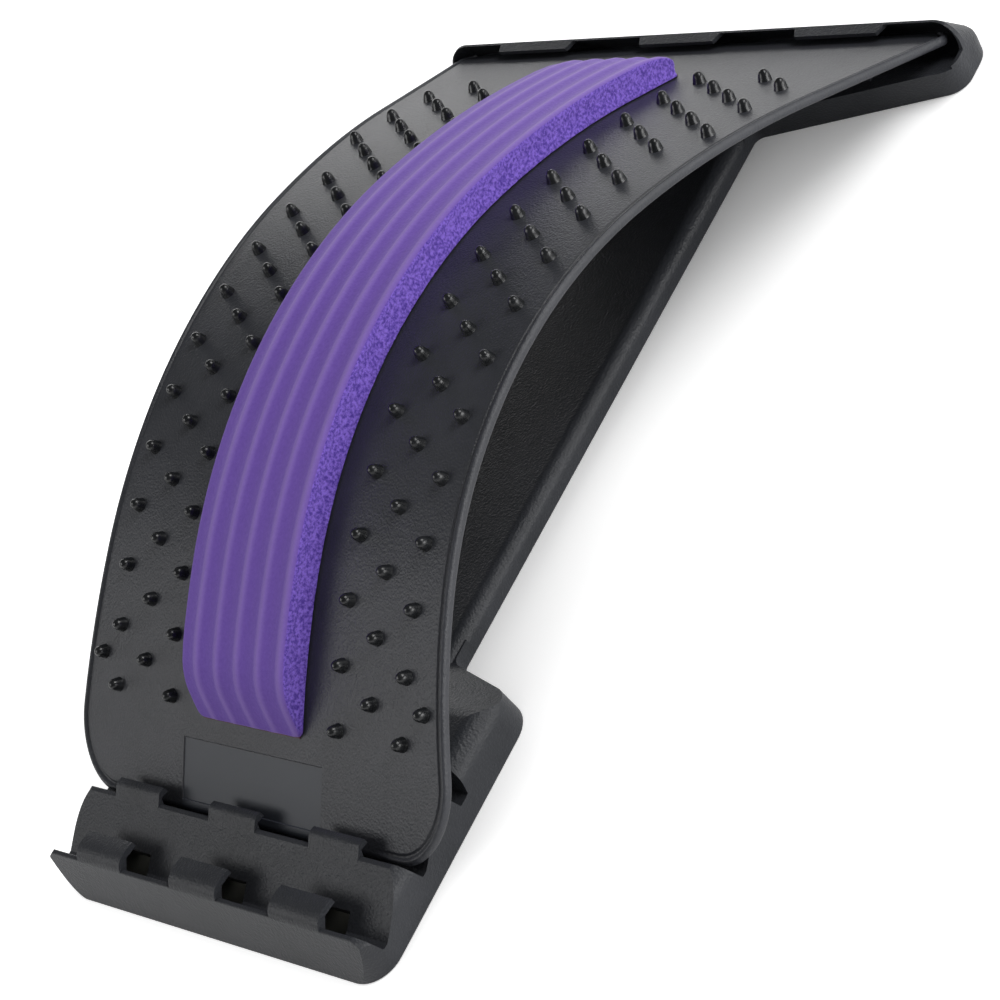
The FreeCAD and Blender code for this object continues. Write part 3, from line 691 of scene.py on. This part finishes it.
class Nodes:
    """Short calls for building one material's node tree."""

    def __init__(self, name):
        self.material = bpy.data.materials.new(name)
        self.material.use_nodes = True
        self.tree = self.material.node_tree
        self.shader = self.tree.nodes["Principled BSDF"]

    def node(self, kind, **settings):
        made = self.tree.nodes.new(kind)
        for key, value in settings.items():
            setattr(made, key, value)
        return made

    def put(self, value, socket):
        """Link an output to a socket, or set the socket to a number or a colour."""
        if isinstance(value, bpy.types.NodeSocket):
            self.tree.links.new(value, socket)
        elif isinstance(value, tuple):
            socket.default_value = (*value, 1)
        else:
            socket.default_value = value

    def surface(self, values):
        """Link or set inputs of the material's own shader."""
        for name, value in values.items():
            self.put(value, self.shader.inputs[name])

    def coordinates(self):
        return self.node("ShaderNodeTexCoord").outputs["Object"]

    def split(self, vector):
        made = self.node("ShaderNodeSeparateXYZ")
        self.put(vector, made.inputs["Vector"])
        return made.outputs

    def noise(self, scale, detail, roughness):
        made = self.node("ShaderNodeTexNoise")
        self.put(self.coordinates(), made.inputs["Vector"])
        self.put(scale, made.inputs["Scale"])
        self.put(detail, made.inputs["Detail"])
        self.put(roughness, made.inputs["Roughness"])
        return made.outputs["Fac"]

    def cells(self, scale):
        made = self.node("ShaderNodeTexVoronoi", feature="SMOOTH_F1")
        self.put(self.coordinates(), made.inputs["Vector"])
        self.put(scale, made.inputs["Scale"])
        return made.outputs["Distance"]

    def ramp(self, factor, places, tones):
        """A band of colour from one tone to the other, between two places."""
        made = self.node("ShaderNodeValToRGB")
        for element, place, tone in zip(made.color_ramp.elements, places, tones):
            element.position = place
            element.color = (*tone, 1)
        self.put(factor, made.inputs["Fac"])
        return made.outputs["Color"]

    def scaled(self, value, low, high, start=0.0, end=1.0, kind="LINEAR"):
        """A value between start and end, brought to between low and high."""
        made = self.node("ShaderNodeMapRange", interpolation_type=kind)
        self.put(value, made.inputs["Value"])
        self.put(start, made.inputs["From Min"])
        self.put(end, made.inputs["From Max"])
        self.put(low, made.inputs["To Min"])
        self.put(high, made.inputs["To Max"])
        return made.outputs["Result"]

    def mix(self, factor, first, second):
        """A blend of two colours."""
        made = self.node("ShaderNodeMix", data_type="RGBA")
        self.put(factor, made.inputs[0])
        self.put(first, made.inputs[6])
        self.put(second, made.inputs[7])
        return made.outputs[2]

    def blend(self, factor, first, second):
        """A blend of two directions."""
        made = self.node("ShaderNodeMix", data_type="VECTOR")
        self.put(factor, made.inputs[0])
        self.put(first, made.inputs[4])
        self.put(second, made.inputs[5])
        return made.outputs[1]

    def math(self, operation, first, second=0.0):
        made = self.node("ShaderNodeMath", operation=operation)
        self.put(first, made.inputs[0])
        self.put(second, made.inputs[1])
        return made.outputs["Value"]

    def bump(self, height, strength, distance, below=None):
        """A normal bent by a height, over the normal below it."""
        made = self.node("ShaderNodeBump")
        self.put(height, made.inputs["Height"])
        self.put(strength, made.inputs["Strength"])
        self.put(distance, made.inputs["Distance"])
        if below is not None:
            self.put(below, made.inputs["Normal"])
        return made.outputs["Normal"]


def label_zone(nodes):
    """1 inside the plate's label recess and 0 outside it."""
    place = nodes.split(nodes.coordinates())
    near = nodes.math("GREATER_THAN", place["X"], LABEL_FAR_X * MM)
    side = nodes.math("ABSOLUTE", place["Y"])
    return nodes.math("MULTIPLY", near, nodes.math("LESS_THAN", side, LABEL_HALF * MM))


def plastic(name, tones, grain_depth, roughness, gloss, has_label):
    """Moulded plastic with a fine pebbled grain and slight unevenness in tone."""
    nodes = Nodes(name)
    tone = nodes.ramp(nodes.noise(*PLASTIC_TONE_NOISE), TONE_PLACES, tones)
    coarse_depth = grain_depth * COARSE_GRAIN_DEPTH_SHARE
    coarse = nodes.bump(nodes.noise(*COARSE_GRAIN_NOISE), COARSE_GRAIN_STRENGTH, coarse_depth)
    pebbles = nodes.bump(nodes.cells(PEBBLE_SCALE), PEBBLE_STRENGTH, grain_depth, coarse)
    grain = nodes.noise(*FINE_GRAIN_NOISE)
    relief = nodes.bump(grain, FINE_GRAIN_STRENGTH, grain_depth, pebbles)
    if has_label:
        zone = label_zone(nodes)
        plain = nodes.node("ShaderNodeNewGeometry").outputs["Normal"]
        tone = nodes.mix(zone, tone, LABEL_TONE)
        relief = nodes.blend(zone, relief, plain)
    nodes.surface({
        "Base Color": tone,
        "Roughness": nodes.scaled(grain, *roughness),
        "Specular IOR Level": gloss,
        "Normal": relief,
    })
    return nodes.material


def nub_material():
    """Smooth soft black nubs with a dull gloss."""
    nodes = Nodes("nub_soft_black")
    tone = nodes.noise(*NUB_NOISE)
    nodes.surface({
        "Base Color": nodes.ramp(tone, TONE_PLACES, NUB_TONES),
        "Roughness": nodes.scaled(tone, *NUB_ROUGHNESS),
        "Normal": nodes.bump(nodes.noise(*NUB_SKIN_NOISE), NUB_SKIN_STRENGTH, NUB_SKIN_DEPTH),
    })
    return nodes.material


def crest_highlight(nodes):
    """Share of the painted highlight that lies along the foam's crests."""
    centre = nodes.math("SUBTRACT", nodes.split(nodes.coordinates())["Y"], FOAM_CREST_SHIFT * MM)
    distance = nodes.math("PINGPONG", centre, FOAM_CREST_PITCH / 2 * MM)
    reach = FOAM_CREST_HIGHLIGHT_WIDTH / 2 * MM
    return nodes.scaled(distance, FOAM_CREST_HIGHLIGHT_SHARE, 0.0, end=reach, kind="SMOOTHSTEP")


def foam_material():
    """Closed cell foam: a speckled velvet top with painted highlights along its crests, and porous
    cut sides.
    """
    nodes = Nodes("foam_purple_cells")
    cells = nodes.noise(*FOAM_CELL_NOISE)
    top = nodes.mix(nodes.noise(*FOAM_SPECKLE_NOISE), *FOAM_TOP_TONES)
    # Paler painted highlight along the crests, where light falls on them
    top = nodes.mix(crest_highlight(nodes), top, FOAM_CREST_HIGHLIGHT_TONE)
    pores = nodes.ramp(cells, FOAM_PORE_PLACES, FOAM_PORE_TONES)
    normal = nodes.node("ShaderNodeNewGeometry").outputs["True Normal"]
    lean = nodes.math("ABSOLUTE", nodes.split(normal)["Y"])
    nodes.surface({
        "Base Color": nodes.mix(nodes.scaled(lean, 0.0, 1.0, *FOAM_SIDE_LEAN), top, pores),
        "Roughness": 0.82,
        "Sheen Weight": 0.35,
        "Sheen Roughness": 0.45,
        "Sheen Tint": FOAM_SHEEN_TONE,
        "Specular IOR Level": 0.25,
        "Normal": nodes.bump(cells, FOAM_CELL_STRENGTH, FOAM_CELL_DEPTH),
    })
    return nodes.material


def tape_material():
    """Dark red-black adhesive layer."""
    nodes = Nodes("tape_dark_adhesive")
    nodes.surface({
        "Base Color": nodes.ramp(nodes.noise(*TAPE_NOISE), TONE_PLACES, TAPE_TONES),
        "Roughness": 0.6,
    })
    return nodes.material


def floor_material():
    """Plain pale floor, lifted towards white for camera and gloss, but held back close to the
    object, which paints shade around and under it.
    """
    nodes = Nodes("floor_pale")
    path = nodes.node("ShaderNodeLightPath")
    gloss = nodes.scaled(path.outputs["Is Glossy Ray"], 0.0, FLOOR_GLOSS_SHARE)
    seen = nodes.math("MAXIMUM", path.outputs["Is Camera Ray"], gloss)
    # Occlusion holds the lift back near and under the object: painted shade
    around = nodes.node("ShaderNodeAmbientOcclusion", samples=FLOOR_SHADE_SAMPLES)
    nodes.put(FLOOR_SHADE_REACH, around.inputs["Distance"])
    lift = nodes.math("MULTIPLY", around.outputs["AO"], seen)
    nodes.surface({
        "Base Color": FLOOR_TONE,
        "Roughness": 0.9,
        "Emission Color": WHITE,
        "Emission Strength": nodes.scaled(lift, 0.0, FLOOR_LIFT),
    })
    return nodes.material


def painted_shade_material():
    """Dark sheet of painted shade on the floor under the near end, seen only through its windows.
    """
    nodes = Nodes("painted_shade_card")
    nodes.surface({"Base Color": PAINTED_SHADE_TONE, "Roughness": 0.95, "Specular IOR Level": 0.1})
    return nodes.material


def paint(obj, material):
    """Give an object one material."""
    if not obj.material_slots:
        obj.data.materials.append(material)
        return
    for place in obj.material_slots:
        place.material = material


def soften_edges(obj):
    """Round a moulded CAD piece's edges by a small bevel."""
    flat = obj.modifiers.new("flat_faces", "DECIMATE")
    flat.decimate_type = "DISSOLVE"
    flat.angle_limit = BASE_FLAT_ANGLE
    bevel = obj.modifiers.new("edge_round", "BEVEL")
    bevel.width = BASE_EDGE_ROUND * MM
    bevel.segments = BASE_EDGE_SEGMENTS
    bevel.limit_method = "ANGLE"
    bevel.angle_limit = BASE_EDGE_ANGLE
    bevel.harden_normals = True
    bevel.use_clamp_overlap = True


# Floor, light and camera

def flat_sheet(name, low, high, level, material):
    """A flat stage piece between two corners of the plan, at one level."""
    plan = (low, (high[0], low[1]), high, (low[0], high[1]))
    sheet = mesh_object(name, [(x, y, level) for x, y in plan], [(0, 1, 2, 3)])
    paint(sheet, material)


def make_floor():
    """A large plain floor just under the object, and the sheet of painted shade under its near
    end.
    """
    half = FLOOR_SIZE / 2
    flat_sheet("floor", (-half, -half), (half, half), -FLOOR_GAP, floor_material())
    low = (SHADE_FAR_X * MM, -SHADE_HALF * MM)
    high = (SHADE_NEAR_X * MM, SHADE_HALF * MM)
    flat_sheet("painted_shade_card", low, high, -FLOOR_GAP / 2, painted_shade_material())


def softbox(name, place, target, size, power):
    """A large soft area light aimed at a point."""
    data = bpy.data.lights.new(name, "AREA")
    data.shape = "RECTANGLE"
    data.size, data.size_y = size
    data.energy = power
    lamp = bpy.data.objects.new(name, data)
    lamp.location = place
    lamp.rotation_euler = (Vector(target) - Vector(place)).to_track_quat("-Z", "Y").to_euler()
    bpy.context.scene.collection.objects.link(lamp)


def make_world():
    """White behind the object, and for its light a sky bright at the horizon and dim above."""
    world = bpy.data.worlds.new("studio")
    bpy.context.scene.world = world
    world.use_nodes = True
    tree = world.node_tree
    background = tree.nodes["Background"]
    place = tree.nodes.new("ShaderNodeTexCoord")
    split = tree.nodes.new("ShaderNodeSeparateXYZ")
    tree.links.new(place.outputs["Generated"], split.inputs["Vector"])
    sky = tree.nodes.new("ShaderNodeMapRange")
    sky.inputs["From Max"].default_value = ZENITH_START
    sky.inputs["To Min"].default_value = HORIZON_LIGHT
    sky.inputs["To Max"].default_value = ZENITH_LIGHT
    tree.links.new(split.outputs["Z"], sky.inputs["Value"])
    path = tree.nodes.new("ShaderNodeLightPath")
    strength = tree.nodes.new("ShaderNodeMapRange")
    strength.inputs["To Max"].default_value = 1.0
    tree.links.new(path.outputs["Is Camera Ray"], strength.inputs["Value"])
    tree.links.new(sky.outputs["Result"], strength.inputs["To Min"])
    tree.links.new(strength.outputs["Result"], background.inputs["Strength"])
    background.inputs["Color"].default_value = (*WHITE, 1)


def make_camera():
    """The photograph's camera."""
    data = bpy.data.cameras.new("camera")
    data.lens = CAMERA_LENS
    data.sensor_width = CAMERA_SENSOR
    camera = bpy.data.objects.new("camera", data)
    camera.location = Vector(CAMERA_PLACE) * MM
    camera.rotation_euler = Euler([math.radians(turn) for turn in CAMERA_TURN], "XYZ")
    bpy.context.scene.collection.objects.link(camera)
    bpy.context.scene.camera = camera


# Build

plate_look = plastic(
    "plate_charcoal_grain", PLATE_TONES, PLATE_GRAIN_DEPTH, PLATE_ROUGHNESS, PLATE_GLOSS, True)
base_look = plastic(
    "base_charcoal_grain", BASE_TONES, BASE_GRAIN_DEPTH, BASE_ROUGHNESS, BASE_GLOSS, False)
nub_look = nub_material()

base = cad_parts["base_board"]
paint(base, base_look)
soften_edges(base)
paint(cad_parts["foam_tape"], tape_material())

plate = make_plate()
paint(plate, plate_look)
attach(plate, "plate")
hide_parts("arch_plate")

foam = make_foam()
paint(foam, foam_material())
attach(foam, "plate")
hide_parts("foam_strip")

for side_name, sign in (("right", 1), ("left", -1)):
    for column in range(NUB_COLUMN_COUNT):
        nubs = make_nubs(side_name, sign, column)
        paint(nubs, nub_look)
        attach(nubs, "plate")
        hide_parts("nubs_%s_%d" % (side_name, column + 1))

make_floor()
make_world()
for box in SOFTBOXES:
    softbox(*box)
make_camera()
bpy.context.scene.view_settings.view_transform = "Standard"
